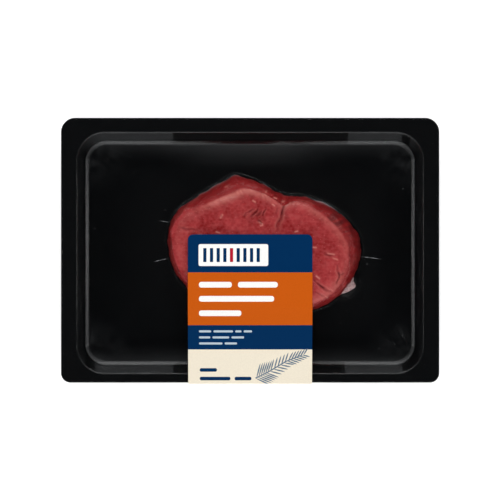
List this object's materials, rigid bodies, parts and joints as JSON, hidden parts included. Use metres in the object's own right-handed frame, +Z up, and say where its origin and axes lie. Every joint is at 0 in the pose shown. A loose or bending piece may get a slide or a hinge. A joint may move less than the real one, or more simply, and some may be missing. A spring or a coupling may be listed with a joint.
{
  "type": "steak skin pack",
  "caption": "Thick raw beef steak in a shallow black tray, sealed under clear skin film, with a printed wrap label from the top of the meat round the front edge to the base.",
  "frame": {"origin": "centre of the pack's footprint, on the surface that it stands on", "axes": "+X along the tray's length, +Y from the front edge that the label wraps to the back edge, +Z up"},
  "size_m": [0.2, 0.1406, 0.0302],
  "materials": {
    "tray_plastic": "glossy black thermoformed sheet",
    "raw_beef": "moist raw meat with fine grain",
    "beef_fat": "moist pinkish white fat",
    "clear_film": "clear glossy film",
    "label_paper": "satin coated print"
  },
  "bodies": {
    "root": {"tray": "tray_plastic", "steak": "raw_beef", "fat_flap": "beef_fat", "film": "clear_film", "label": "label_paper"}
  },
  "joints": []
}
